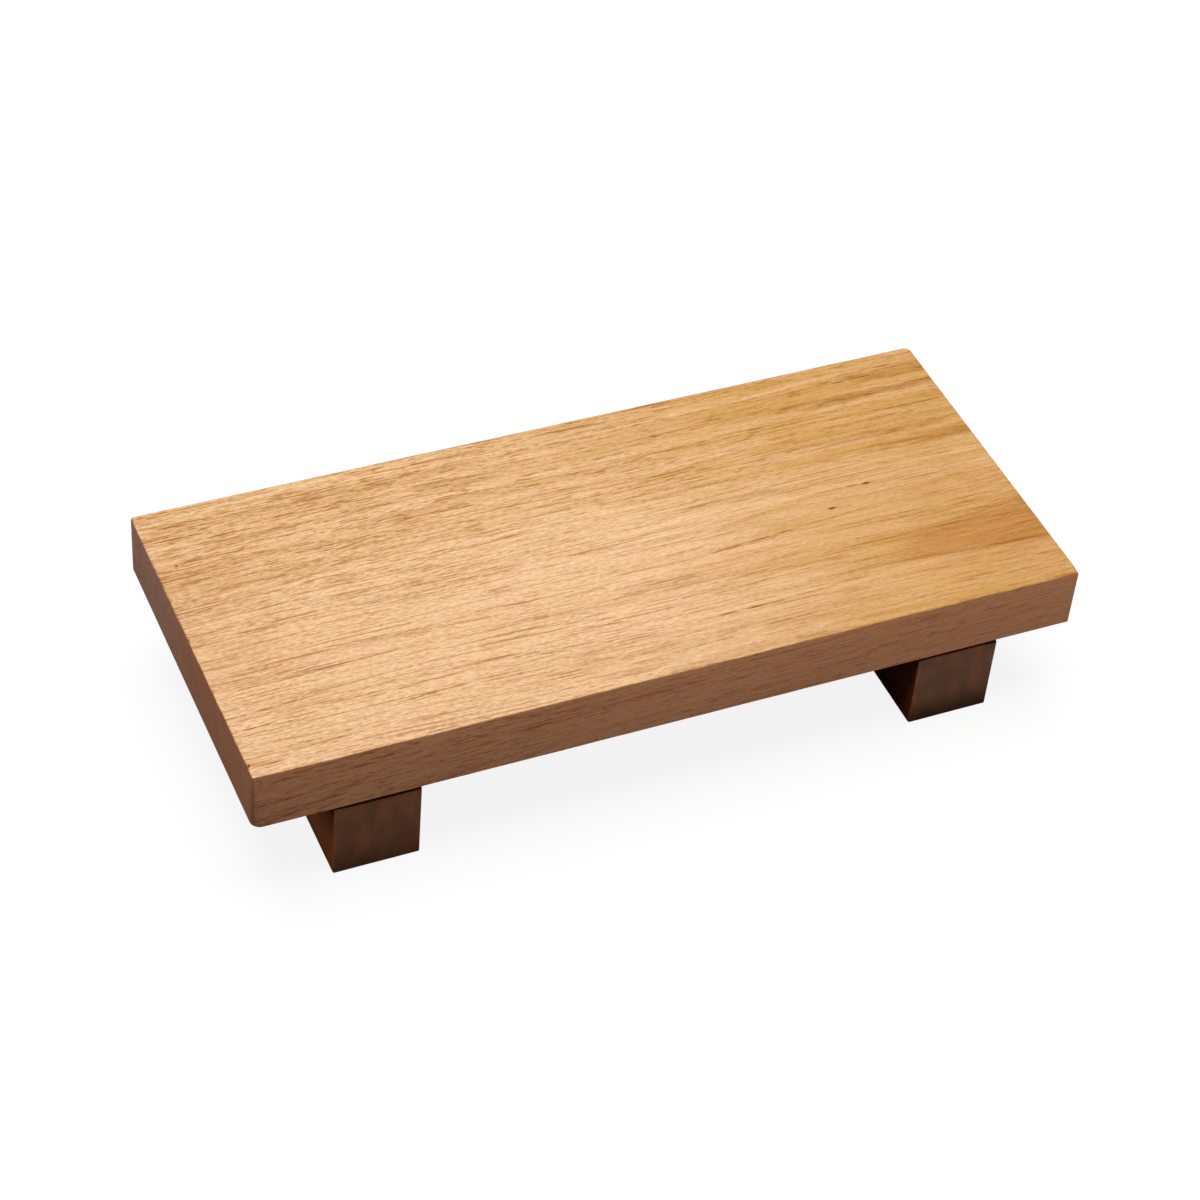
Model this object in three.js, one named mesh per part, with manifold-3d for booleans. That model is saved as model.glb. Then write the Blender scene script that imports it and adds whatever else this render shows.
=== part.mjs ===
// A wooden pedestal tray: one solid plank standing on two square-section runners.
// Each runner is held by two countersunk wood screws, sunk into its underside and driven up into the plank.
// Millimetres, +Z up, +X along the plank, -Y at the front. The origin is on the table, under the plank's middle.
import * as THREE from "three";
import { mergeVertices } from "three/addons/utils/BufferGeometryUtils.js";
import Module from "manifold-3d";

// Plank
const BOARD_LENGTH = 270;
const BOARD_DEPTH = 118;
const BOARD_THICKNESS = 21;
const BOARD_CORNER_RADIUS = 2;
const BOARD_ARRIS = 0.5;

// Runners
const LEG_WIDTH = 27.5;
const LEG_HEIGHT = 28.5;
const LEG_END_INSET = 25; // from the plank's end to the runner's outer side
const LEG_FACE_INSET = 0.5; // from the plank's front or back face to the runner's end
const LEG_CORNER_RADIUS = 1.2;
const LEG_ARRIS = 0.6;

// Wood screws
const SCREW_HEAD_DIAMETER = 8;
const SCREW_HEAD_RIM = 0.5; // straight rim below the drive face
const SCREW_SHANK_DIAMETER = 2.9;
const SCREW_SHANK_LENGTH = 9; // plain length between head and thread
const SCREW_THREAD_DIAMETER = 4; // over the crests
const SCREW_POINT_LENGTH = 4.5;
const SCREW_SINK = 5.5; // from the runner's underside up to the drive face
const SCREW_COVER = 9; // wood left above the screw's point
const SCREW_END_DISTANCE = 22; // from the runner's end to the screw's axis
const RECESS_SPAN = 4.4; // across the arms of the drive's cross
const RECESS_ARM = 1.1; // width of one arm
const RECESS_DEPTH = 2.2;
const RECESS_FLOOR = 1.6; // across the arms at the bottom of the cross

// Fits and facets
const HOLE_CLEARANCE = 0.3; // all round a screw, in runner and plank
const CUT_OVERSHOOT = 1; // how far a cutting tool stands out of the wood
const CORNER_SEGMENTS = 6;
const ARRIS_SEGMENTS = 3;
const ROUND_SEGMENTS = 24;

// Places that follow from the sizes above
const LEG_LENGTH = BOARD_DEPTH - 2 * LEG_FACE_INSET;
const LEG_CENTRE_X = BOARD_LENGTH / 2 - LEG_END_INSET - LEG_WIDTH / 2;
const SCREW_CENTRE_Y = LEG_LENGTH / 2 - SCREW_END_DISTANCE;
const SCREW_BITE = BOARD_THICKNESS - SCREW_COVER;
const SCREW_LENGTH = LEG_HEIGHT - SCREW_SINK + SCREW_BITE;
const HEAD_RADIUS = SCREW_HEAD_DIAMETER / 2;
const SHANK_RADIUS = SCREW_SHANK_DIAMETER / 2;
const THREAD_RADIUS = SCREW_THREAD_DIAMETER / 2;
const HOLE_RADIUS = THREAD_RADIUS + HOLE_CLEARANCE;

const SIDES = { left: -1, right: 1 };
const ENDS = { front: -1, back: 1 };

const wasm = await Module();
wasm.setup();

// A closed geometry as a solid that can be cut.
function toSolid(geometry) {
  const bare = geometry.clone();
  bare.deleteAttribute("normal");
  bare.deleteAttribute("uv");
  const merged = mergeVertices(bare);
  return new wasm.Manifold(
    new wasm.Mesh({
      numProp: 3,
      vertProperties: merged.attributes.position.array,
      triVerts: new Uint32Array(merged.index.array),
    }),
  );
}

// A solid as a geometry with flat-shaded faces.
function toGeometry(solid) {
  const mesh = solid.getMesh();
  const indexed = new THREE.BufferGeometry();
  indexed.setAttribute("position", new THREE.BufferAttribute(mesh.vertProperties, 3));
  indexed.setIndex(new THREE.BufferAttribute(mesh.triVerts, 1));
  const flat = indexed.toNonIndexed();
  flat.computeVertexNormals();
  return flat;
}

// A block centred on the Z axis and standing on z = 0, with rounded upright corners and eased top and bottom edges.
function easedBlock(width, depth, height, cornerRadius, arris) {
  const x = width / 2 - cornerRadius;
  const y = depth / 2 - cornerRadius;
  const outline = new THREE.Shape()
    .absarc(x, y, cornerRadius, 0, Math.PI / 2)
    .absarc(-x, y, cornerRadius, Math.PI / 2, Math.PI)
    .absarc(-x, -y, cornerRadius, Math.PI, 1.5 * Math.PI)
    .absarc(x, -y, cornerRadius, 1.5 * Math.PI, 2 * Math.PI);
  const block = new THREE.ExtrudeGeometry(outline, {
    depth: height - 2 * arris,
    curveSegments: CORNER_SEGMENTS,
    bevelThickness: arris,
    bevelSize: arris,
    bevelOffset: -arris,
    bevelSegments: ARRIS_SEGMENTS,
  });
  return block.translate(0, 0, arris);
}

// A profile of [radius, height] pairs, bottom first, turned about the Z axis.
function turned(profile) {
  const points = profile.map(([radius, height]) => new THREE.Vector2(radius, height));
  return new THREE.LatheGeometry(points, ROUND_SEGMENTS).rotateX(Math.PI / 2);
}

// The tapered cross in a screw's drive face: crossed arms held inside a cone.
function driveRecess() {
  const arm = RECESS_ARM / 2;
  const reach = RECESS_SPAN / 2;
  const cross = new THREE.Shape();
  cross.moveTo(reach, -arm).lineTo(reach, arm).lineTo(arm, arm).lineTo(arm, reach);
  cross.lineTo(-arm, reach).lineTo(-arm, arm).lineTo(-reach, arm).lineTo(-reach, -arm);
  cross.lineTo(-arm, -arm).lineTo(-arm, -reach).lineTo(arm, -reach).lineTo(arm, -arm);
  const height = RECESS_DEPTH + CUT_OVERSHOOT;
  const arms = new THREE.ExtrudeGeometry(cross, { depth: height, bevelEnabled: false });
  arms.translate(0, 0, -CUT_OVERSHOOT);
  const cone = turned([
    [0, -CUT_OVERSHOOT],
    [reach, -CUT_OVERSHOOT],
    [reach, 0],
    [RECESS_FLOOR / 2, RECESS_DEPTH],
    [0, RECESS_DEPTH],
  ]);
  return toSolid(arms).intersect(toSolid(cone));
}

// A countersunk wood screw, drive face down at z = 0 and point up.
function woodScrew() {
  const coneTop = SCREW_HEAD_RIM + HEAD_RADIUS - SHANK_RADIUS;
  const threadStart = coneTop + SCREW_SHANK_LENGTH;
  const runOut = threadStart + THREAD_RADIUS - SHANK_RADIUS;
  const body = turned([
    [0, 0],
    [HEAD_RADIUS, 0],
    [HEAD_RADIUS, SCREW_HEAD_RIM],
    [SHANK_RADIUS, coneTop],
    [SHANK_RADIUS, threadStart],
    [THREAD_RADIUS, runOut],
    [THREAD_RADIUS, SCREW_LENGTH - SCREW_POINT_LENGTH],
    [0, SCREW_LENGTH],
  ]);
  return toGeometry(toSolid(body).subtract(driveRecess()));
}

// The hole that a screw takes in its runner: counterbore, countersink and clearance hole, from z = 0 up.
function legHole() {
  const boreRadius = HEAD_RADIUS + HOLE_CLEARANCE;
  const coneShift = HOLE_CLEARANCE * (Math.SQRT2 - 1);
  const coneStart = SCREW_SINK + SCREW_HEAD_RIM + coneShift;
  const coneEnd = coneStart + boreRadius - HOLE_RADIUS;
  return turned([
    [0, -CUT_OVERSHOOT],
    [boreRadius, -CUT_OVERSHOOT],
    [boreRadius, coneStart],
    [HOLE_RADIUS, coneEnd],
    [HOLE_RADIUS, LEG_HEIGHT + CUT_OVERSHOOT],
    [0, LEG_HEIGHT + CUT_OVERSHOOT],
  ]);
}

// The blind hole that a screw takes in the plank, up from its underside at z = 0.
function boardHole() {
  return turned([
    [0, -CUT_OVERSHOOT],
    [HOLE_RADIUS, -CUT_OVERSHOOT],
    [HOLE_RADIUS, SCREW_BITE - SCREW_POINT_LENGTH + HOLE_CLEARANCE],
    [0, SCREW_BITE + HOLE_CLEARANCE],
  ]);
}

function makeBoard() {
  const blank = easedBlock(BOARD_LENGTH, BOARD_DEPTH, BOARD_THICKNESS, BOARD_CORNER_RADIUS, BOARD_ARRIS);
  let board = toSolid(blank);
  for (const side of Object.values(SIDES)) {
    for (const end of Object.values(ENDS)) {
      const hole = boardHole().translate(side * LEG_CENTRE_X, end * SCREW_CENTRE_Y, 0);
      board = board.subtract(toSolid(hole));
    }
  }
  return toGeometry(board);
}

function makeLeg() {
  let leg = toSolid(easedBlock(LEG_WIDTH, LEG_LENGTH, LEG_HEIGHT, LEG_CORNER_RADIUS, LEG_ARRIS));
  for (const end of Object.values(ENDS)) {
    const hole = legHole().translate(0, end * SCREW_CENTRE_Y, 0);
    leg = leg.subtract(toSolid(hole));
  }
  return toGeometry(leg);
}

const boardWood = new THREE.MeshStandardMaterial({ color: 0xdcab74, roughness: 0.5, metalness: 0 });
const legWood = new THREE.MeshStandardMaterial({ color: 0xa9764c, roughness: 0.55, metalness: 0 });
const screwSteel = new THREE.MeshStandardMaterial({ color: 0xb8b2a2, roughness: 0.35, metalness: 1 });

function named(name, geometry, material) {
  const mesh = new THREE.Mesh(geometry, material);
  mesh.name = name;
  return mesh;
}

const tray = new THREE.Group();

const board = named("top_board", makeBoard(), boardWood);
board.position.z = LEG_HEIGHT;
tray.add(board);

const legGeometry = makeLeg();
const screwGeometry = woodScrew();
for (const [sideName, side] of Object.entries(SIDES)) {
  const foot = new THREE.Group();
  foot.position.x = side * LEG_CENTRE_X;
  foot.add(named(`${sideName}_leg`, legGeometry, legWood));
  for (const [endName, end] of Object.entries(ENDS)) {
    const screw = named(`${sideName}_${endName}_screw`, screwGeometry, screwSteel);
    screw.position.set(0, end * SCREW_CENTRE_Y, SCREW_SINK);
    foot.add(screw);
  }
  tray.add(foot);
}

export default tray;
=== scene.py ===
# A wooden pedestal tray, dressed for rendering: plank, two runners and four screws on a pale floor.
# Metres in the model's own frame, +Z up and -Y at the front. Patterns in the materials are in millimetres.
import math
from collections import namedtuple

import bmesh
import bpy
from mathutils import Matrix, Vector, noise


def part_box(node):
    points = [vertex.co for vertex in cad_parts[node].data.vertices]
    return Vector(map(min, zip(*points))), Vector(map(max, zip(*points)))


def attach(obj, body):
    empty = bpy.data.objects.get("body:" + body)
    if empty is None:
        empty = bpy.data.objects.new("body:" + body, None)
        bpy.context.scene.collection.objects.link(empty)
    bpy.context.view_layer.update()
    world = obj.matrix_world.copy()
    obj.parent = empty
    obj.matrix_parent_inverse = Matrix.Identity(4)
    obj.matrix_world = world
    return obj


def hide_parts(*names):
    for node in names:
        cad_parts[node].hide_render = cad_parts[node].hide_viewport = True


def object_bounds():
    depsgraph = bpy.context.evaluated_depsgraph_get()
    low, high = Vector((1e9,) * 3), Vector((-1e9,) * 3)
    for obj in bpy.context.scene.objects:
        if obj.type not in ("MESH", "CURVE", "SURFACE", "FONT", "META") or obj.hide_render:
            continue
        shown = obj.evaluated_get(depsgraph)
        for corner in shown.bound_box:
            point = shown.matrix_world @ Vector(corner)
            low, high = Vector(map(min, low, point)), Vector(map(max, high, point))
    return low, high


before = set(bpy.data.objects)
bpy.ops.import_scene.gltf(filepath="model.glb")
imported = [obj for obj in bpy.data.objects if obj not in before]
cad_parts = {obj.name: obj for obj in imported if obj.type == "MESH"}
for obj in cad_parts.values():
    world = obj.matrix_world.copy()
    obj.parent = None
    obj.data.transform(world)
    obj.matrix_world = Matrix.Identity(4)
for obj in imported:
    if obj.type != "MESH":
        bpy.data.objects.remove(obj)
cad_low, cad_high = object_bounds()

MM = 0.001
BODY = "root"

# Photograph's camera, aimed at a point on the plank's top
CAMERA_AZIMUTH = math.radians(-26.69)
CAMERA_ELEVATION = math.radians(42.87)
CAMERA_ROLL = math.radians(5.405)
CAMERA_DISTANCE = 0.9756
CAMERA_AIM = Vector((-0.01199, -0.02217))
CAMERA_LENS = 96.35
CAMERA_SENSOR = 36.0

# Lamps, with place and aim in metres
Lamp = namedtuple("Lamp", "name place aim width depth watts")
TRAY_MIDDLE = Vector((0.0, 0.0, 0.03))
LAMPS = (
    Lamp("softbox", Vector((0.0, 0.35, 1.25)), Vector((0.0, 0.35, 0.0)), 1.2, 1.5, 20.0),
    Lamp("front_fill", Vector((0.31, -0.76, 0.25)), TRAY_MIDDLE, 0.5, 0.3, 1.22),
    Lamp("left_fill", Vector((-0.9, 0.12, 0.35)), TRAY_MIDDLE, 0.6, 0.5, 0.97),
)

# Floor and room
FLOOR_HALF = 6.0
FLOOR_GREY = 0.17  # of the floor in view, which takes the shadow
FLOOR_GLOW = 0.88  # of the floor in view, which shows white with it
DIM_GREY = 0.03  # of floor and room out of view, as they light the tray

# Plank and runners
BOARD_LEFT, BOARD_FRONT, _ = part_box("top_board")[0]
BOARD_RIGHT, BOARD_BACK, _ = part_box("top_board")[1]

# Corner radii run counter-clockwise from the back right. A dent is (place, width, depth).
# The last three fields colour the eased edge, the upright corners and the joint: on the plank's top edge
# partly wear and partly painted shade, along its underside painted shade, up the runners' corners a
# painted highlight, and in the joint painted shade.
Edge = namedtuple("Edge", "corners arris dents worn rubbed grimy")
BOARD_FACE = Edge(
    corners=(2.0 * MM, 0.8 * MM, 0.6 * MM, 0.6 * MM),
    arris=0.45 * MM,
    dents=(
        (Vector((BOARD_LEFT, -0.0536)), 0.9 * MM, 1.1 * MM),
        (Vector((BOARD_LEFT, -0.0218)), 0.6 * MM, 0.7 * MM),
        (Vector((BOARD_LEFT, 0.0008)), 0.7 * MM, 0.7 * MM),
        (Vector((BOARD_LEFT, BOARD_BACK)), 3.0 * MM, 0.4 * MM),
        (Vector((BOARD_RIGHT, BOARD_FRONT)), 2.5 * MM, 0.7 * MM),
    ),
    worn=1.0,
    rubbed=0.0,
    grimy=0.0,
)
# The underside's dark eased edge is painted shade.
BOARD_UNDERSIDE = Edge(
    corners=(2.0 * MM, 1.2 * MM, 3.2 * MM, 0.6 * MM),
    arris=0.3 * MM,
    dents=(),
    worn=1.0,
    rubbed=0.0,
    grimy=0.0,
)
# Painted shade: the runners' top eased edge is darkened where the joint under the plank lies in shadow.
LEG_HEAD = Edge(corners=(0.6 * MM,) * 4, arris=1.8 * MM, dents=(), worn=0.0, rubbed=1.0, grimy=4.0)
# On both runner edges the upright corners take a painted highlight.
LEG_FOOT = Edge(corners=(0.6 * MM,) * 4, arris=0.25 * MM, dents=(), worn=0.3, rubbed=1.0, grimy=0.0)

# How blocks are meshed
Corner = namedtuple("Corner", "tip sign radius")
LEAST_RADIUS = 0.08 * MM  # of a corner drawn in past its own radius
CORNER_SEGMENTS = 8
ARRIS_SEGMENTS = 5
FACE_MARGIN = 0.3 * MM  # flat rim inside each eased edge
OUTLINE_STEP = 0.8 * MM
ARRIS_WANDER = 0.35  # share by which hand sanding changes an edge's roundness
WANDER_LENGTH = 9.0 * MM
SMOOTH_ANGLE = math.radians(40)

# Screws and the holes drilled for them
HEAD_RIM = 0.5 * MM
HEAD_EASE = 0.15 * MM
SHANK_RADIUS = 1.45 * MM
SHANK_LENGTH = 9.0 * MM
THREAD_RADIUS = 2.0 * MM
CORE_RADIUS = 1.25 * MM
THREAD_PITCH = 1.8 * MM
CREST_SHARE = 0.24  # half of a crest's foot, as a share of the pitch
POINT_LENGTH = 4.5 * MM
SCREW_STEP = 0.12 * MM
SCREW_SEGMENTS = 36
SCREW_TURN = 0.7  # radians by which each screw stands turned from the one before
RECESS_REACH = 2.2 * MM
RECESS_ARM = 0.55 * MM
RECESS_DEPTH = 2.2 * MM
RECESS_FLOOR = 0.4  # the recess's floor as a share of its mouth
HOLE_CLEARANCE = 0.3 * MM
HOLE_SEGMENTS = 48

# Noise that bends the wood, by cells along it, across it and up
RIPPLE_CELL = (28.0, 6.0, 6.0)
RIPPLE_REACH = (0.0, 0.6, 0.6)
WANDER_CELL = (110.0, 60.0, 60.0)
WANDER_REACH = (0.0, 3.0, 3.0)

# Noise that follows the trunk, by cells along it, outwards from the pith and round it
ARC_RADIUS = 45.0  # from the pith, where distance round it is measured
RING_CELL = (160.0, 9.0, 30.0)
RING_SHIFT = 1.6  # rings by which noise moves them
RING_SHARPNESS = 8.0
BAND_CELL = (150.0, 4.0, 8.0)
RIBBON_CELL = (34.0, 1.8, 2.4)
FIBRE_CELL = (2.0, 0.34, 0.38)

# A layer is noise with its values from low to high spread over 0 to 1
Layer = namedtuple("Layer", "cell detail roughness low high")
CROWDING = Layer((70.0, 3.0, 7.0), 2.0, 0.6, 0.35, 0.65)
HAIRS = Layer((60.0, 0.46, 0.5), 2.0, 0.6, 0.49, 0.71)
DASHES = Layer((7.5, 0.62, 0.8), 2.0, 0.6, 0.52, 0.68)
VESSELS = Layer((32.0, 1.0, 1.1), 1.5, 0.5, 0.56, 0.70)
HUES = Layer((24.0, 4.0, 5.0), 2.0, 0.6, 0.35, 0.65)

# Layers that don't follow the trunk
STREAK_BREAKS = Layer((16.0, 1.6, 1.6), 2.0, 0.5, 0.3, 0.6)
LINE_BREAKS = Layer((5.0, 0.8, 0.8), 2.0, 0.5, 0.3, 0.6)
CLOUDS = Layer((20.0, 6.0, 11.0), 2.0, 0.5, 0.35, 0.65)
EDGE_PATCHES = Layer((12.0, 4.0, 4.0), 2.0, 0.5, 0.3, 0.6)

# A face's normal along an axis, from where the face starts to turn that way to where it has turned
# These start late, so the upright corners between faces take little of the darker end and side tints:
# painted light that lifts the shade on those corners.
TURNED = (0.55, 0.85)
TURNED_UP = (0.55, 0.95)
TURNED_FLAT = (0.9, 0.99)

# How much of a layer is always there, and how much more comes at the back, in crowds or where pores open
RIBBONS_FRONT = 0.7
RIBBONS_BACK = 0.45
HAIRS_SPARSE = 0.6
HAIRS_CROWDED = 0.7
DASHES_SPARSE = 0.55
DASHES_CROWDED = 0.5
DASHES_DENSE = 0.15
DASHES_POROUS = 0.85

# Borders and marks in the wood
RAGGED_RIGHT = 40.0  # by which ribbons shift where the right end's colour begins
RAGGED_FOOT_SHADE = 3.0  # by which they shift where the painted shade at the foot ends
HEART_OUTSIDE = 0.3  # beyond the heartwood's radius, where its colour begins
HEART_INSIDE = 0.9  # within that radius, where its colour is full
BOLD_LEFT = 1.2  # strength of fine lines at the left end
BOLD_REACH = 110.0  # from the middle to where that strength stops changing
MARK_CORE = 0.3  # share of a line's or a knot's width that is darkest
LINE_TAPER = 0.2  # share of a line's length over which each end fades

# Shares that are lost on side grain and end grain
SIDE_FINE_LOSS = 0.25
SIDE_HEART_LOSS = 0.9
END_HEART_LOSS = 0.8
SIDE_FOOT_SHADE_LOSS = 0.7

# Surface of the wood
FINE_ROUGHNESS = 0.3
END_ROUGHNESS = 0.25
GRAIN_DEPTH = 0.15 * MM

# Zinc on the screws
ZINC_CLOUD_CELL = (1.6, 1.6, 1.6)
ZINC_SCRATCH_CELL = (0.5, 0.5, 0.06)
ZINC_DULL = (0.42, 0.40, 0.33)
ZINC_BRIGHT = (0.62, 0.60, 0.54)
ZINC_ROUGHNESS = 0.2
ZINC_CLOUD_ROUGHNESS = 0.25
ZINC_SCRATCHES = 0.2
ZINC_SCRATCH_DEPTH = 0.02 * MM


class Graph:
    """Adds nodes to a material's tree. An input takes a socket or a plain value."""

    def __init__(self, tree):
        self.tree = tree
        self.tree.nodes.clear()

    def feed(self, socket, value):
        if isinstance(value, bpy.types.NodeSocket):
            self.tree.links.new(value, socket)
        else:
            socket.default_value = value

    def node(self, kind, inputs, **settings):
        made = self.tree.nodes.new(kind)
        for key, value in settings.items():
            setattr(made, key, value)
        for key, value in inputs.items():
            self.feed(made.inputs[key], value)
        return made

    def math(self, operation, *values, clamp=False):
        made = self.node("ShaderNodeMath", dict(enumerate(values)), operation=operation, use_clamp=clamp)
        return made.outputs[0]

    def add(self, total, value, weight):
        """Total plus value times weight."""
        return self.math("MULTIPLY_ADD", value, weight, total)

    def swing(self, total, value, weight):
        """Total plus weight times how far a value between 0 and 1 lies from its middle."""
        return self.add(total, self.math("SUBTRACT", value, 0.5), weight)

    def less(self, value, share):
        """1 where a value is 0, and a share less where it is 1."""
        return self.add(1.0, value, -share)

    def product(self, first, *others):
        for value in others:
            first = self.math("MULTIPLY", first, value)
        return first

    def length(self, a, b):
        squares = self.math("ADD", self.math("MULTIPLY", a, a), self.math("MULTIPLY", b, b))
        return self.math("SQRT", squares)

    def vector(self, operation, *values):
        return self.node("ShaderNodeVectorMath", dict(enumerate(values)), operation=operation).outputs[0]

    def split(self, vector):
        return self.node("ShaderNodeSeparateXYZ", {0: vector}).outputs

    def join(self, x, y, z):
        return self.node("ShaderNodeCombineXYZ", {0: x, 1: y, 2: z}).outputs[0]

    def noise_node(self, point, cell, detail, roughness):
        """Noise in cells that have a length on each axis."""
        stretched = self.vector("DIVIDE", point, cell)
        inputs = {"Vector": stretched, "Scale": 1.0, "Detail": detail, "Roughness": roughness}
        return self.node("ShaderNodeTexNoise", inputs)

    def noise(self, point, cell, detail=2.0, roughness=0.5):
        return self.noise_node(point, cell, detail, roughness).outputs["Fac"]

    def noise_vector(self, point, cell, reach):
        """A wandering offset of up to about half of reach on each axis."""
        wandering = self.noise_node(point, cell, 1.0, 0.5).outputs["Color"]
        centred = self.vector("SUBTRACT", wandering, (0.5, 0.5, 0.5))
        return self.vector("MULTIPLY", centred, reach)

    def layer(self, point, layer):
        value = self.noise(point, layer.cell, layer.detail, layer.roughness)
        return self.fade(value, layer.low, layer.high)

    def fade(self, value, start, end):
        """0 at start, 1 at end, smooth in between. Start may be the larger of the two."""
        made = self.node(
            "ShaderNodeMapRange",
            {"Value": value, "From Min": start, "From Max": end},
            interpolation_type="SMOOTHSTEP",
        )
        return made.outputs[0]

    def mix(self, factor, a, b, blend="MIX"):
        made = self.node("ShaderNodeMix", {0: factor, 6: a, 7: b}, data_type="RGBA", blend_type=blend)
        return made.outputs[2]

    def tint(self, colour, factor, tone):
        """The colour, multiplied by a tone's red, green and blue as far as the factor says."""
        return self.mix(factor, colour, rgb(*tone), "MULTIPLY")


def rgb(red, green, blue):
    return (red, green, blue, 1.0)


def grey(level):
    return rgb(level, level, level)


def new_material(name):
    material = bpy.data.materials.new(name)
    material.use_nodes = True
    return material, Graph(material.node_tree)


def pin_knot(g, point, place):
    """A small spot where a twig grew: 1 in its middle, 0 outside."""
    u, v, long_radius, short_radius = place
    along, across, _ = g.split(point)
    du = g.math("DIVIDE", g.math("SUBTRACT", along, u), long_radius)
    dv = g.math("DIVIDE", g.math("SUBTRACT", across, v), short_radius)
    return g.fade(g.length(du, dv), 1.0, MARK_CORE)


def dark_line(g, along, across, start, end, half_width):
    """A dark line along the grain from one point to another: 1 along its middle, 0 outside."""
    u0, v0 = start
    u1, v1 = end
    share = g.math("DIVIDE", g.math("SUBTRACT", along, u0), u1 - u0)
    middle = g.math("MULTIPLY_ADD", share, v1 - v0, v0)
    aside = g.math("ABSOLUTE", g.math("SUBTRACT", across, middle))
    ends = g.math("MULTIPLY", g.fade(share, 0.0, LINE_TAPER), g.fade(share, 1.0, 1.0 - LINE_TAPER))
    return g.math("MULTIPLY", g.fade(aside, half_width, MARK_CORE * half_width), ends)


def broken_lines(g, point, lines, breaks):
    """Single lines along the grain, broken by a layer of noise: 1 where they are darkest."""
    along, across, _ = g.split(point)
    total = 0.0
    for start, end, half_width, depth in lines:
        total = g.add(total, dark_line(g, along, across, start, end, half_width), depth)
    return g.math("MULTIPLY", total, g.layer(point, breaks))


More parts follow.
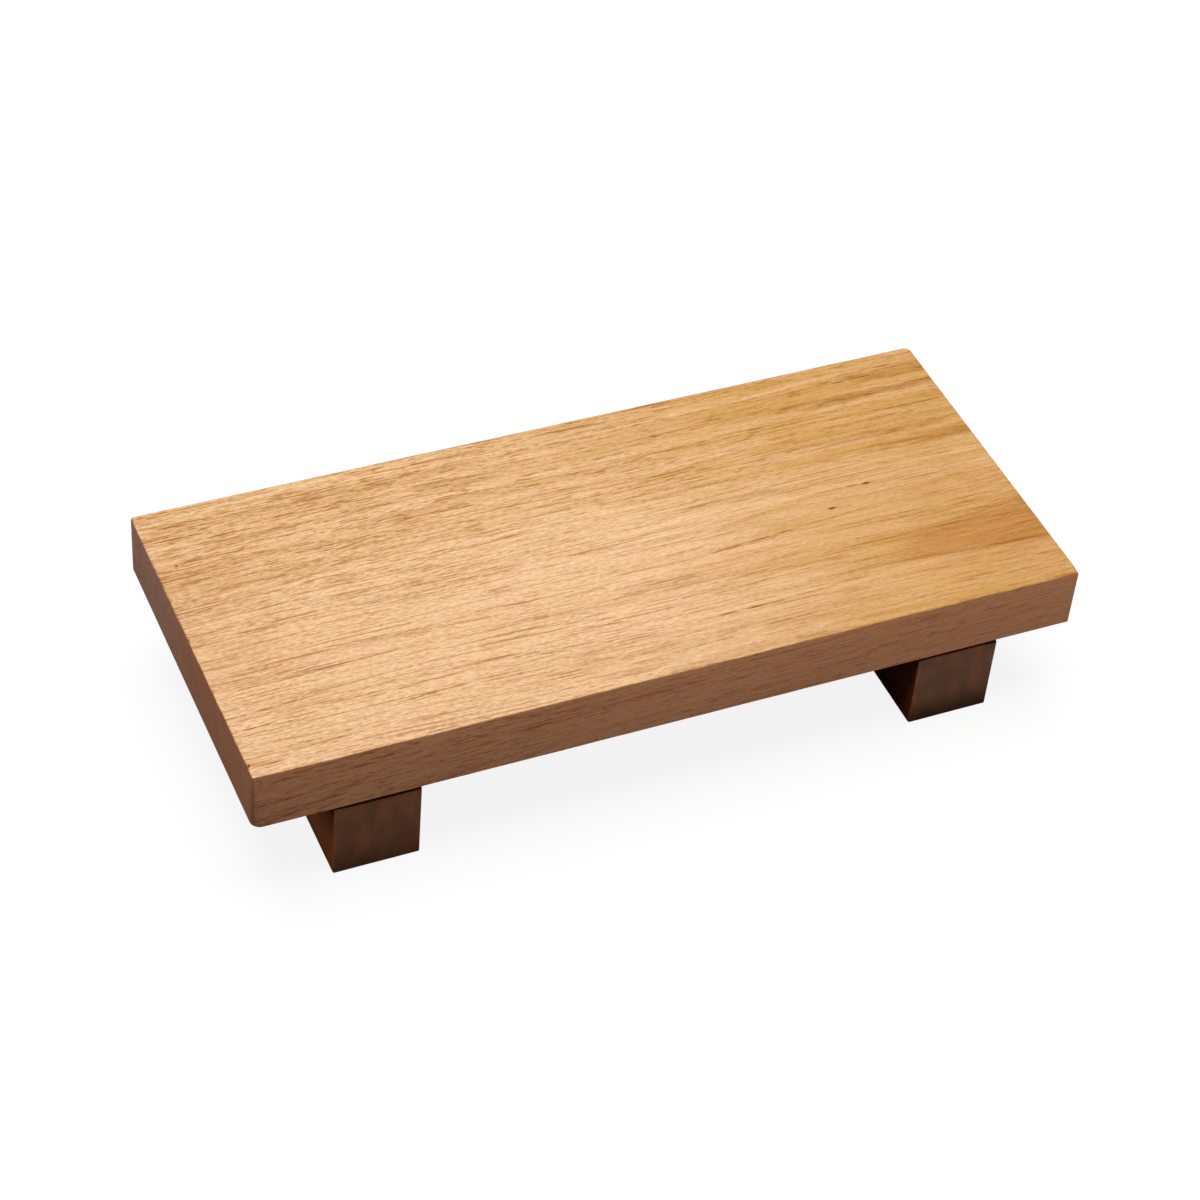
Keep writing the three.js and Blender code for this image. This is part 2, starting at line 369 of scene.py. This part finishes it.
def wood(name, look):
    """Solid wood, the same from every side: rings round a leaning pith, bands, fine lines and pores."""
    material, g = new_material(name)
    place = g.node("ShaderNodeTexCoord", {})
    turned = g.node(
        "ShaderNodeMapping",
        {"Vector": place.outputs["Object"], "Rotation": (0, 0, look["turn"]), "Scale": (1 / MM,) * 3},
    )
    point = turned.outputs[0]
    ripple = g.noise_vector(point, RIPPLE_CELL, RIPPLE_REACH)
    rippled = g.vector("ADD", point, ripple)
    wander = g.noise_vector(point, WANDER_CELL, WANDER_REACH)
    along, across, height = g.split(g.vector("ADD", rippled, wander))

    # Rings round the pith: the layers below lie along the trunk, outwards from the pith and round it
    pith_across = g.math("MULTIPLY_ADD", along, look["pith_drift"], look["pith_across"])
    pith_height = g.math("MULTIPLY_ADD", along, look["pith_lean"], look["pith_height"])
    sideways = g.math("SUBTRACT", across, pith_across)
    upwards = g.math("SUBTRACT", height, pith_height)
    radius = g.length(sideways, upwards)
    arc = g.math("MULTIPLY", g.math("ARCTAN2", sideways, upwards), ARC_RADIUS)
    grain = g.join(along, radius, arc)
    uneven = g.noise(grain, RING_CELL)
    phase = g.add(g.math("DIVIDE", radius, look["ring_width"]), uneven, RING_SHIFT)
    ring = g.math("POWER", g.math("MULTIPLY", g.math("PINGPONG", phase, 0.5), 2.0), RING_SHARPNESS)

    # How the face lies to the grain
    normal = g.node(
        "ShaderNodeMapping",
        {"Vector": place.outputs["Normal"], "Rotation": (0, 0, look["turn"])},
        vector_type="NORMAL",
    )
    normal_along, normal_across, normal_up = g.split(normal.outputs[0])
    to_end = g.math("ABSOLUTE", normal_along)
    to_side = g.math("ABSOLUTE", normal_across)
    end_grain = g.fade(to_end, *TURNED)
    side_grain = g.fade(to_side, *TURNED)
    top_face = g.fade(normal_up, *TURNED_UP)
    end_calm = g.less(end_grain, look["end_calm"])

    # Broad golden bands, more of them at the back and the right end, fewer in the middle and on the sides;
    # the paler front, middle and left are partly the wood's colour and partly a painted sheen
    bands = g.noise(grain, BAND_CELL, 2.0, 0.6)
    ribbons = g.noise(grain, RIBBON_CELL, 2.0, 0.6)
    back = g.fade(across, look["back_from"], look["back_to"])
    right = g.fade(g.swing(along, ribbons, RAGGED_RIGHT), look["right_from"], look["right_to"])
    middle = g.fade(g.math("ABSOLUTE", across), look["pale_width"], 0.0)
    lively = g.add(RIBBONS_FRONT, back, RIBBONS_BACK)
    golden = g.swing(look["golden"], bands, look["band_depth"])
    golden = g.swing(golden, ribbons, g.math("MULTIPLY", lively, look["ribbon_depth"]))
    golden = g.add(golden, g.math("MULTIPLY", back, g.math("SUBTRACT", 1.0, right)), look["back_depth"])
    golden = g.add(golden, middle, -look["pale_depth"])
    golden = g.math("MULTIPLY_ADD", right, look["right_depth"], golden, clamp=True)
    golden = g.product(golden, g.less(side_grain, look["side_calm"]), end_calm)

    # Fine dark lines: long hairs, dashes where pores are cut lengthwise, wider vessels and short fibres
    crowding = g.layer(grain, CROWDING)
    porous = g.math("MAXIMUM", back, side_grain)
    hairs = g.math("MULTIPLY", g.layer(grain, HAIRS), g.add(HAIRS_SPARSE, crowding, HAIRS_CROWDED))
    dashes = g.product(
        g.layer(grain, DASHES),
        g.add(DASHES_SPARSE, crowding, DASHES_CROWDED),
        g.add(DASHES_DENSE, porous, DASHES_POROUS),
    )
    vessels = g.layer(grain, VESSELS)
    fibres = g.noise(grain, FIBRE_CELL, 1.0)
    fine = g.swing(look["depth"], fibres, look["fibre_depth"])
    fine = g.swing(fine, bands, look["band_shade"])
    fine = g.add(fine, hairs, look["hair_depth"])
    fine = g.add(fine, dashes, look["dash_depth"])
    fine = g.add(fine, vessels, look["vessel_depth"])
    fine = g.add(fine, ring, look["ring_depth"])
    bold = g.add(BOLD_LEFT, g.fade(along, -BOLD_REACH, BOLD_REACH), -look["right_calm"])
    fine = g.product(fine, bold, end_calm)
    fine = g.math("MULTIPLY", fine, g.less(side_grain, SIDE_FINE_LOSS), clamp=True)

    # Colour: golden bands, drifts of hue, heartwood, fine lines, then single streaks, lines and knots
    colour = g.tint(rgb(*look["light"]), golden, look["gold"])
    hue = g.layer(grain, HUES)
    colour = g.tint(colour, g.math("SUBTRACT", 1.0, hue), look["rosy"])
    colour = g.tint(colour, hue, look["olive"])
    inside = g.fade(radius, look["heart_radius"] + HEART_OUTSIDE, look["heart_radius"] - HEART_INSIDE)
    heart = g.product(inside, g.fade(along, look["heart_from"], look["heart_to"]), look["heart_depth"])
    heart = g.product(heart, g.less(side_grain, SIDE_HEART_LOSS), g.less(end_grain, END_HEART_LOSS))
    colour = g.tint(colour, heart, look["heart"])
    brown = g.mix(back, rgb(*look["front_brown"]), rgb(*look["brown"]))
    colour = g.mix(fine, colour, brown, "MULTIPLY")
    if look["lines"]:
        streaks = broken_lines(g, rippled, look["streaks"], STREAK_BREAKS)
        streaks = g.math("MULTIPLY", streaks, top_face, clamp=True)
        colour = g.tint(colour, streaks, look["streak"])
        marks = broken_lines(g, rippled, look["lines"], LINE_BREAKS)
        for knot in look["knots"]:
            marks = g.math("ADD", marks, pin_knot(g, rippled, knot))
        marks = g.math("MULTIPLY", marks, top_face, clamp=True)
        colour = g.tint(colour, marks, look["mark"])
        fine = g.math("MAXIMUM", fine, marks)

    # End and side grain tints, partly finish soaked in and partly painted shade on the plank's upright
    # faces, with painted reddish bounce light on the runners' sides; edge tones; painted shade in the
    # joint and at the runners' feet
    cloud = g.layer(point, CLOUDS)
    # The end and side tints below are partly painted shade on the plank, and the side tint is painted
    # bounce light on the runners.
    colour = g.tint(colour, end_grain, look["end"])
    colour = g.tint(colour, g.math("MULTIPLY", end_grain, cloud), look["end_cloud"])
    # Painted sheen: a paler, cooler tint at the back of the plank's end grain; on the runners a slight
    # warm tint.
    colour = g.tint(colour, g.math("MULTIPLY", end_grain, back), look["end_back_sheen_and_tone"])
    colour = g.tint(colour, side_grain, look["side"])
    # Edge tone from the mesh: darker on the plank's eased edges, partly wear and partly painted shade, and
    # lighter up the runners' upright corners as a painted highlight.
    edge_wear_and_shading = g.node("ShaderNodeAttribute", {}, attribute_name="edge_wear_and_shading").outputs["Fac"]
    worn = g.math("MULTIPLY", edge_wear_and_shading, g.layer(point, EDGE_PATCHES))
    colour = g.tint(colour, g.math("MULTIPLY", worn, look["edge_depth"]), look["edge"])
    # Painted shade in the joint: the runners' top eased edge is darkened as if in shadow under the plank.
    joint_shade = g.node("ShaderNodeAttribute", {}, attribute_name="joint_shade").outputs["Fac"]
    colour = g.tint(colour, joint_shade, look["joint_shade"])
    # Painted shade: the runners darken towards the floor, less on their sides.
    foot = g.fade(g.swing(height, ribbons, RAGGED_FOOT_SHADE), look["foot_height"], 0.0)
    foot = g.product(
        foot,
        g.add(look["foot_depth"], back, look["foot_back"]),
        g.less(side_grain, SIDE_FOOT_SHADE_LOSS),
    )
    colour = g.tint(colour, foot, look["foot"])

    # Roughness, and open grain as relief that is sanded away on the rounded edges
    rough = g.add(look["roughness"], fine, FINE_ROUGHNESS)
    rough = g.math("MULTIPLY_ADD", end_grain, END_ROUGHNESS, rough, clamp=True)
    relief = g.math("MULTIPLY", fine, -1.0)
    facing = g.math("MAXIMUM", to_end, to_side)
    facing = g.math("MAXIMUM", facing, g.math("ABSOLUTE", normal_up))
    strength = g.math("MULTIPLY", g.fade(facing, *TURNED_FLAT), look["bump"])
    bump = g.node("ShaderNodeBump", {"Height": relief, "Strength": strength, "Distance": GRAIN_DEPTH})
    shader = g.node(
        "ShaderNodeBsdfPrincipled",
        {
            "Base Color": colour,
            "Roughness": rough,
            "Specular IOR Level": look["specular"],
            "Normal": bump.outputs[0],
        },
    )
    g.node("ShaderNodeOutputMaterial", {"Surface": shader.outputs[0]})
    return material


# A depth is how far something shows, and each colour but light multiplies what lies under it.
# A line or streak is (start, end, half width, depth), a knot (along, across, long radius, short radius).
BOARD_LOOK = {
    "turn": 0.0,
    "pith_across": -29.0,
    "pith_drift": -0.01,
    "pith_height": 3.55,
    "pith_lean": 0.0222,
    "ring_width": 3.1,
    "light": (0.957, 0.63, 0.355),
    "gold": (0.74, 0.61, 0.32),
    "rosy": (1.005, 0.993, 1.012),
    "olive": (0.995, 1.004, 0.985),
    "golden": -0.11,
    "band_depth": 1.1,
    "ribbon_depth": 0.9,
    "back_from": -8.0,
    "back_to": 34.0,
    "back_depth": 0.395,
    "pale_width": 22.0,
    "pale_depth": 0.18,
    "right_from": -28.0,
    "right_to": 90.0,
    "right_depth": 0.945,
    "right_calm": 0.5,
    "front_brown": (0.58, 0.40, 0.28),
    "brown": (0.56, 0.40, 0.22),
    "depth": 0.16,
    "band_shade": 0.25,
    "hair_depth": 0.75,
    "dash_depth": 0.9,
    "vessel_depth": 0.2,
    "fibre_depth": 1.4,
    "ring_depth": 0.1,
    "lines": (
        ((20.0, -14.4), (62.0, -11.6), 0.5, 0.7),
        ((50.0, -12.4), (100.0, -8.5), 0.4, 0.55),
        ((12.0, -40.1), (44.0, -40.3), 0.5, 0.9),
        ((-36.0, -37.8), (8.0, -39.4), 0.4, 0.6),
        ((-135.0, -23.9), (-72.0, -22.2), 0.4, 0.6),
        ((-148.0, -34.8), (-100.0, -32.4), 0.45, 0.8),
        ((-112.0, -32.2), (-58.0, -29.6), 0.4, 0.45),
        ((-142.0, -40.2), (-120.0, -39.4), 0.45, 0.8),
        ((-142.0, -42.0), (-80.0, -42.2), 0.35, 0.6),
        ((-98.0, -39.0), (-50.0, -36.6), 0.45, 0.6),
        ((-84.0, -43.6), (-62.0, -42.3), 0.45, 0.9),
        ((-126.0, -51.8), (-102.0, -51.3), 0.35, 0.7),
        ((-58.0, -43.6), (-34.0, -44.0), 0.4, 0.45),
        ((-142.0, -55.0), (-122.0, -54.5), 0.4, 0.9),
        ((-86.0, -58.1), (-58.0, -57.8), 0.4, 0.8),
        ((-56.0, -24.2), (20.0, -23.0), 0.4, 0.45),
        ((-150.0, 45.1), (-112.0, 45.1), 0.45, 0.9),
        ((-104.0, 45.4), (-50.0, 43.7), 0.45, 0.8),
        ((-126.0, 42.6), (-96.0, 42.3), 0.4, 0.6),
        ((-134.0, 41.0), (-110.0, 40.5), 0.4, 0.7),
        ((-136.0, 31.0), (-115.0, 31.3), 0.4, 0.8),
        ((-131.0, 50.9), (-119.0, 50.6), 0.45, 0.9),
        ((-114.0, 25.2), (-76.0, 25.5), 0.4, 0.6),
        ((82.0, 1.3), (93.0, 0.5), 0.6, 0.5),
        ((72.0, -6.3), (82.0, -7.6), 0.6, 0.5),
    ),
    "knots": (
        (90.0, 0.8, 1.8, 0.7),
        (74.3, -6.7, 1.9, 0.8),
        (-128.3, 33.2, 0.9, 0.6),
        (-134.4, -53.6, 1.0, 0.8),
    ),
    "mark": (0.44, 0.22, 0.06),
    "streaks": (
        ((72.0, 41.6), (150.0, 41.0), 2.8, 0.8),
        ((100.0, 50.4), (150.0, 49.4), 4.5, 0.7),
        ((94.0, 15.4), (150.0, 14.6), 2.8, 0.8),
        ((58.0, 22.6), (142.0, 21.6), 2.4, 0.6),
        ((26.0, 7.8), (64.0, 7.8), 0.9, 0.7),
        ((60.0, -34.0), (150.0, -41.2), 1.2, 0.7),
        ((-100.0, 49.0), (-30.0, 50.0), 2.5, 0.25),
        ((-45.0, -48.5), (85.0, -50.0), 14.0, 0.33),
        ((-190.0, 10.0), (-100.0, 10.0), 48.0, 0.3),
        ((85.0, -24.0), (190.0, -24.0), 45.0, 0.25),
    ),
    "streak": (0.68, 0.51, 0.31),
    "heart_radius": 45.0,
    "heart_from": 35.0,
    "heart_to": 100.0,
    "heart_depth": 0.78,
    "heart": (0.80, 0.65, 0.43),
    # End and side tints darken and redden the plank's upright faces: partly finish soaked in, partly
    # painted shade.
    "end": (0.68, 0.447, 0.40),
    "end_cloud": (0.91, 0.94, 1.02),
    # Painted sheen at the back of the ends, paler and cooler.
    "end_back_sheen_and_tone": (1.12, 1.37, 1.86),
    "end_calm": 0.6,
    "side": (1.0, 0.72, 0.66),
    "side_calm": 0.8,
    # Darker eased edges: partly wear, partly painted shade.
    "edge": (0.60, 0.40, 0.20),
    "edge_depth": 0.85,
    "joint_shade": (0.18, 0.07, 0.045),
    "foot_height": 1.0,
    "foot_depth": 0.0,
    "foot_back": 0.0,
    "foot": (1.0, 1.0, 1.0),
    "roughness": 0.5,
    "specular": 0.12,
    "bump": 0.3,
}

# Darker wood that runs from front to back, without lines and so without streaks and knots
LEG_LOOK = {
    **BOARD_LOOK,
    "turn": math.radians(-90),
    "pith_across": -90.0,
    "pith_drift": 0.0,
    "pith_height": 14.0,
    "pith_lean": 0.01,
    "ring_width": 4.0,
    "light": (0.38, 0.165, 0.075),
    "gold": (0.70, 0.72, 0.68),
    "golden": 0.4,
    "back_depth": 0.0,
    "right_depth": 0.0,
    "right_calm": 0.0,
    "front_brown": (0.62, 0.55, 0.50),
    "brown": (0.62, 0.55, 0.50),
    "dash_depth": 0.2,
    "vessel_depth": 0.1,
    "fibre_depth": 0.4,
    "lines": (),
    "heart_depth": 0.0,
    "end": (1.09, 1.09, 1.31),
    "end_cloud": (0.72, 0.83, 0.93),
    "end_back_sheen_and_tone": (1.02, 0.93, 0.88),
    "end_calm": 0.8,
    # Painted light: the strong reddish side tint stands for light bounced from the wood onto the runners'
    # sides.
    "side": (1.58, 1.14, 0.90),
    "side_calm": 0.6,
    # A lighter edge colour: a painted highlight up the runners' upright corners.
    "edge": (1.9, 1.55, 1.2),
    "edge_depth": 0.8,
    # Painted shade that darkens the runners towards the floor.
    "foot_height": 13.0,
    "foot_depth": 1.0,
    "foot_back": -0.4,
    "foot": (0.27, 0.28, 0.26),
    "roughness": 0.6,
    "specular": 0.0,
}


def zinc():
    """Bright zinc plating: faint turning marks and a few dull patches."""
    material, g = new_material("zinc_plate")
    place = g.node("ShaderNodeTexCoord", {})
    point = g.vector("DIVIDE", place.outputs["Object"], (MM, MM, MM))
    cloud = g.noise(point, ZINC_CLOUD_CELL, 3.0)
    scratches = g.noise(point, ZINC_SCRATCH_CELL, 2.0)
    colour = g.mix(cloud, rgb(*ZINC_DULL), rgb(*ZINC_BRIGHT))
    rough = g.add(ZINC_ROUGHNESS, cloud, ZINC_CLOUD_ROUGHNESS)
    bump = g.node(
        "ShaderNodeBump",
        {"Height": scratches, "Strength": ZINC_SCRATCHES, "Distance": ZINC_SCRATCH_DEPTH},
    )
    shader = g.node(
        "ShaderNodeBsdfPrincipled",
        {"Base Color": colour, "Metallic": 1.0, "Roughness": rough, "Normal": bump.outputs[0]},
    )
    g.node("ShaderNodeOutputMaterial", {"Surface": shader.outputs[0]})
    return material


def ring_of_vertices(bm, centre, radius, z, count, turn=0.0):
    ring = []
    for step in range(count):
        angle = turn + 2 * math.pi * step / count
        x = centre.x + radius * math.cos(angle)
        y = centre.y + radius * math.sin(angle)
        ring.append(bm.verts.new((x, y, z)))
    return ring


def bridge(bm, lower, upper):
    """Faces between two closed loops of as many vertices, or up to one last vertex."""
    count = len(lower)
    for index in range(count):
        after = (index + 1) % count
        if len(upper) == 1:
            bm.faces.new((lower[index], lower[after], upper[0]))
        else:
            bm.faces.new((lower[index], lower[after], upper[after], upper[index]))


def fill_between(bm, loops):
    """A flat face inside the first loop, with the other loops left open."""
    edges = []
    for loop in loops:
        for index in range(len(loop)):
            pair = (loop[index - 1], loop[index])
            edges.append(bm.edges.get(pair) or bm.edges.new(pair))
    bmesh.ops.triangle_fill(bm, use_beauty=True, edges=edges)


def finish_piece(bm, name, node):
    """Closes a mesh as a piece that stands for a CAD node."""
    bmesh.ops.recalc_face_normals(bm, faces=bm.faces)
    mesh = bpy.data.meshes.new(name)
    bm.to_mesh(mesh)
    bm.free()
    mesh.shade_smooth()
    mesh.set_sharp_from_angle(angle=SMOOTH_ANGLE)
    piece = bpy.data.objects.new(name, mesh)
    bpy.context.scene.collection.objects.link(piece)
    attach(piece, BODY)
    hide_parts(node)
    return piece


def rounded_outline(low, high, radii):
    """Spots round a rectangle with round corners, counter-clockwise from the back right.

    Each is (first corner, last corner, share of the way between them, outward direction).
    """
    sides = {-1: low, 1: high}
    corners = []
    for (x, y), radius in zip(((1, 1), (-1, 1), (-1, -1), (1, -1)), radii):
        corners.append(Corner(Vector((sides[x].x, sides[y].y)), Vector((x, y)), radius))
    spots = []
    for index, corner in enumerate(corners):
        for step in range(CORNER_SEGMENTS + 1):
            angle = 0.5 * math.pi * (index + step / CORNER_SEGMENTS)
            outward = Vector((math.cos(angle), math.sin(angle)))
            spots.append((corner, corner, 0.0, outward))
        after = corners[(index + 1) % len(corners)]
        count = round((after.tip - corner.tip).length / OUTLINE_STEP)
        spots += [(corner, after, step / count, outward) for step in range(1, count)]
    return spots


def drawn_in(spot, inset):
    """Where a spot lies on the outline drawn in by this much from every side."""
    first, last, share, outward = spot
    ends = []
    for corner in (first, last):
        radius = max(corner.radius - inset, LEAST_RADIUS)
        ends.append(corner.tip - corner.sign * (inset + radius) + outward * radius)
    return ends[0].lerp(ends[1], share)


def eased_block(name, node, lower_edge, upper_edge, holes):
    """A plank or runner in place of a CAD node, with hand-eased edges and drilled holes."""
    low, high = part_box(node)
    bm = bmesh.new()
    edge_wear_and_shading = bm.verts.layers.float.new("edge_wear_and_shading")
    joint_shade = bm.verts.layers.float.new("joint_shade")

    def edge_loops(edge, level, inward):
        """Loops from the flat face at a level, round its edge, to the upright sides."""
        spots = rounded_outline(low, high, edge.corners)
        radii = []
        for spot in spots:
            place = drawn_in(spot, 0.0)
            seed = Vector((place.x, place.y, level)) / WANDER_LENGTH
            radius = edge.arris * (1 + ARRIS_WANDER * noise.noise(seed))
            for dent, width, depth in edge.dents:
                radius += depth * math.exp(-(((place - dent).length / width) ** 2))
            radii.append(radius)
        turns = [0.5 * math.pi * step / ARRIS_SEGMENTS for step in range(ARRIS_SEGMENTS + 1)]
        loops = []
        for turn, margin in [(0.0, FACE_MARGIN)] + [(turn, 0.0) for turn in turns]:
            loop = []
            for spot, radius in zip(spots, radii):
                at = drawn_in(spot, radius * (1 - math.sin(turn)) + margin)
                vertex = bm.verts.new((at.x, at.y, level + inward * radius * (1 - math.cos(turn))))
                outward = spot[-1]
                # The plank's eased edges darken, partly wear and partly painted shade; the runners'
                # upright corners take a painted highlight.
                cornering = 2 * abs(outward.x * outward.y)
                edge_toning = edge.worn * math.sin(2 * turn)
                corner_lightening = edge.rubbed * cornering * math.sin(turn)
                vertex[edge_wear_and_shading] = max(edge_toning, corner_lightening)
                # Painted shade on the runner's top eased edge, darkest next to the joint.
                vertex[joint_shade] = min(1.0, edge.grimy * math.cos(turn))
                loop.append(vertex)
            loops.append(loop)
        return loops

    loops = edge_loops(lower_edge, low.z, 1) + edge_loops(upper_edge, high.z, -1)[::-1]
    for lower, upper in zip(loops, loops[1:]):
        bridge(bm, lower, upper)

    lower_rims = [loops[0]]
    upper_rims = [loops[-1]]
    for centre, profile in holes:
        rims = []
        for radius, z in profile:
            count = HOLE_SEGMENTS if radius else 1
            rims.append(ring_of_vertices(bm, centre, radius, z, count))
        for lower, upper in zip(rims, rims[1:]):
            bridge(bm, lower, upper)
        lower_rims.append(rims[0])
        if len(rims[-1]) > 1:
            upper_rims.append(rims[-1])
    fill_between(bm, lower_rims)
    fill_between(bm, upper_rims)
    return finish_piece(bm, name, node)


def screw_axis(node):
    low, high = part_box(node)
    return Vector(((low.x + high.x) / 2, (low.y + high.y) / 2))


def board_hole(node):
    """The blind hole that a screw takes in the plank."""
    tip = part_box(node)[1].z
    radius = THREAD_RADIUS + HOLE_CLEARANCE
    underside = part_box("top_board")[0].z
    profile = (
        (radius, underside),
        (radius, tip - POINT_LENGTH + HOLE_CLEARANCE),
        (0.0, tip + HOLE_CLEARANCE),
    )
    return screw_axis(node), profile


def leg_hole(node, leg):
    """The counterbored and countersunk hole that a screw takes in its runner."""
    low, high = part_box(node)
    leg_low, leg_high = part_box(leg)
    bore = (high.x - low.x) / 2 + HOLE_CLEARANCE
    radius = THREAD_RADIUS + HOLE_CLEARANCE
    cone_start = low.z + HEAD_RIM + HOLE_CLEARANCE * (math.sqrt(2) - 1)
    profile = (
        (bore, leg_low.z),
        (bore, cone_start),
        (radius, cone_start + bore - radius),
        (radius, leg_high.z),
    )
    return screw_axis(node), profile


def screw_radius(height, angle, head_radius, length):
    """A wood screw's radius at a height above its drive face: head, plain shank, thread and point."""
    if height <= HEAD_RIM:
        return head_radius
    cone = head_radius - (height - HEAD_RIM)
    if cone > SHANK_RADIUS:
        return cone
    thread_start = HEAD_RIM + head_radius - SHANK_RADIUS + SHANK_LENGTH
    if height < thread_start:
        return SHANK_RADIUS
    begun = min(1.0, (height - thread_start) / THREAD_PITCH)
    phase = height / THREAD_PITCH - angle / (2 * math.pi)
    crest = max(0.0, 1 - abs(phase - round(phase)) / CREST_SHARE)
    root = SHANK_RADIUS + (CORE_RADIUS - SHANK_RADIUS) * begun
    taper = min(1.0, (length - height) / POINT_LENGTH)
    return (root + (THREAD_RADIUS - root) * crest * begun) * taper


def wood_screw(name, node, turn):
    """A countersunk wood screw with a cross recess, drive face down, in place of a CAD node."""
    low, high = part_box(node)
    axis = screw_axis(node)
    head_radius = (high.x - low.x) / 2
    length = high.z - low.z
    bm = bmesh.new()

    # Turned and threaded body
    rows = round((length - HEAD_EASE) / SCREW_STEP)
    loops = [ring_of_vertices(bm, axis, head_radius - HEAD_EASE, low.z, SCREW_SEGMENTS, turn)]
    for row in range(rows):
        height = HEAD_EASE + (length - HEAD_EASE) * row / rows
        loop = []
        for step in range(SCREW_SEGMENTS):
            angle = 2 * math.pi * step / SCREW_SEGMENTS
            radius = screw_radius(height, angle, head_radius, length)
            x = axis.x + radius * math.cos(turn + angle)
            y = axis.y + radius * math.sin(turn + angle)
            loop.append(bm.verts.new((x, y, low.z + height)))
        loops.append(loop)
    loops.append([bm.verts.new((axis.x, axis.y, high.z))])
    for lower, upper in zip(loops, loops[1:]):
        bridge(bm, lower, upper)

    # Cross recess, narrowing to its floor
    def cross(scale, z):
        arm = Vector((RECESS_REACH, RECESS_ARM)) * scale
        quarter = (Vector((arm.x, -arm.y)), Vector((arm.x, arm.y)), Vector((arm.y, arm.y)))
        corners = []
        for side in range(4):
            spin = Matrix.Rotation(turn + side * 0.5 * math.pi, 2)
            corners += [axis + spin @ corner for corner in quarter]
        return [bm.verts.new((at.x, at.y, z)) for at in corners]

    mouth = cross(1.0, low.z)
    floor = cross(RECESS_FLOOR, low.z + RECESS_DEPTH)
    bridge(bm, mouth, floor)
    fill_between(bm, [floor])
    fill_between(bm, [loops[0], mouth])
    return finish_piece(bm, name, node)


def make_camera(top):
    """The photograph's viewpoint: a long lens, tilted a little to one side."""
    data = bpy.data.cameras.new("camera")
    data.lens = CAMERA_LENS
    data.sensor_width = CAMERA_SENSOR
    camera = bpy.data.objects.new("camera", data)
    bpy.context.scene.collection.objects.link(camera)
    level = math.cos(CAMERA_ELEVATION)
    back = Vector((
        math.sin(CAMERA_AZIMUTH) * level,
        -math.cos(CAMERA_AZIMUTH) * level,
        math.sin(CAMERA_ELEVATION),
    ))
    right = Vector((math.cos(CAMERA_AZIMUTH), math.sin(CAMERA_AZIMUTH), 0.0))
    up = back.cross(right)
    turn = Matrix((right, up, back)).transposed().to_4x4() @ Matrix.Rotation(CAMERA_ROLL, 4, "Z")
    aim = Vector((CAMERA_AIM.x, CAMERA_AIM.y, top))
    camera.matrix_world = Matrix.Translation(aim + back * CAMERA_DISTANCE) @ turn
    bpy.context.scene.camera = camera


def seen_by_camera(g):
    """1 for what the camera sees, straight or mirrored, and 0 for light that rough surfaces scatter."""
    rays = g.node("ShaderNodeLightPath", {})
    seen = g.math("MAXIMUM", rays.outputs["Is Camera Ray"], rays.outputs["Is Glossy Ray"])
    seen = g.math("MAXIMUM", seen, rays.outputs["Is Transmission Ray"])
    return g.math("SUBTRACT", seen, rays.outputs["Diffuse Depth"], clamp=True)


def make_floor():
    """A wide pale floor that shows white and keeps the tray's shadow."""
    mesh = bpy.data.meshes.new("floor")
    corners = [(x * FLOOR_HALF, y * FLOOR_HALF, 0) for x, y in ((-1, -1), (1, -1), (1, 1), (-1, 1))]
    mesh.from_pydata(corners, [], [(0, 1, 2, 3)])
    floor = bpy.data.objects.new("floor", mesh)
    bpy.context.scene.collection.objects.link(floor)
    material, g = new_material("pale_floor")
    seen = seen_by_camera(g)
    colour = g.mix(seen, grey(DIM_GREY), grey(FLOOR_GREY))
    glow = g.math("MULTIPLY", seen, FLOOR_GLOW)
    shader = g.node(
        "ShaderNodeBsdfPrincipled",
        {
            "Base Color": colour,
            "Roughness": 0.9,
            "Specular IOR Level": 0.0,
            "Emission Color": grey(1.0),
            "Emission Strength": glow,
        },
    )
    g.node("ShaderNodeOutputMaterial", {"Surface": shader.outputs[0]})
    mesh.materials.append(material)


def make_lamp(lamp):
    data = bpy.data.lights.new(lamp.name, "AREA")
    data.shape = "RECTANGLE"
    data.size = lamp.width
    data.size_y = lamp.depth
    data.energy = lamp.watts
    light = bpy.data.objects.new(lamp.name, data)
    bpy.context.scene.collection.objects.link(light)
    light.location = lamp.place
    light.rotation_euler = (lamp.aim - lamp.place).to_track_quat("-Z", "Y").to_euler()


def make_light():
    """A wide softbox overhead, weak fills from two sides, and a dim room that is seen white."""
    for lamp in LAMPS:
        make_lamp(lamp)
    world = bpy.data.worlds.new("room")
    bpy.context.scene.world = world
    world.use_nodes = True
    g = Graph(world.node_tree)
    colour = g.mix(seen_by_camera(g), grey(DIM_GREY), grey(1.0))
    background = g.node("ShaderNodeBackground", {"Color": colour, "Strength": 1.0})
    g.node("ShaderNodeOutputWorld", {"Surface": background.outputs[0]})


def dress(piece, material):
    piece.data.materials.append(material)


bpy.context.scene.view_settings.view_transform = "Standard"
make_camera(cad_high.z)
make_floor()
make_light()

screws = [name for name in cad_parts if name.endswith("_screw")]
board_holes = [board_hole(screw) for screw in screws]
board = eased_block("board", "top_board", BOARD_UNDERSIDE, BOARD_FACE, board_holes)
dress(board, wood("board_wood", BOARD_LOOK))

leg_wood = wood("leg_wood", LEG_LOOK)
for side in ("left", "right"):
    leg = f"{side}_leg"
    leg_holes = [leg_hole(screw, leg) for screw in screws if screw.startswith(side)]
    dress(eased_block(f"{side}_runner", leg, LEG_FOOT, LEG_HEAD, leg_holes), leg_wood)

plating = zinc()
for index, screw in enumerate(screws):
    dress(wood_screw(f"{screw}_threaded", screw, SCREW_TURN * index), plating)
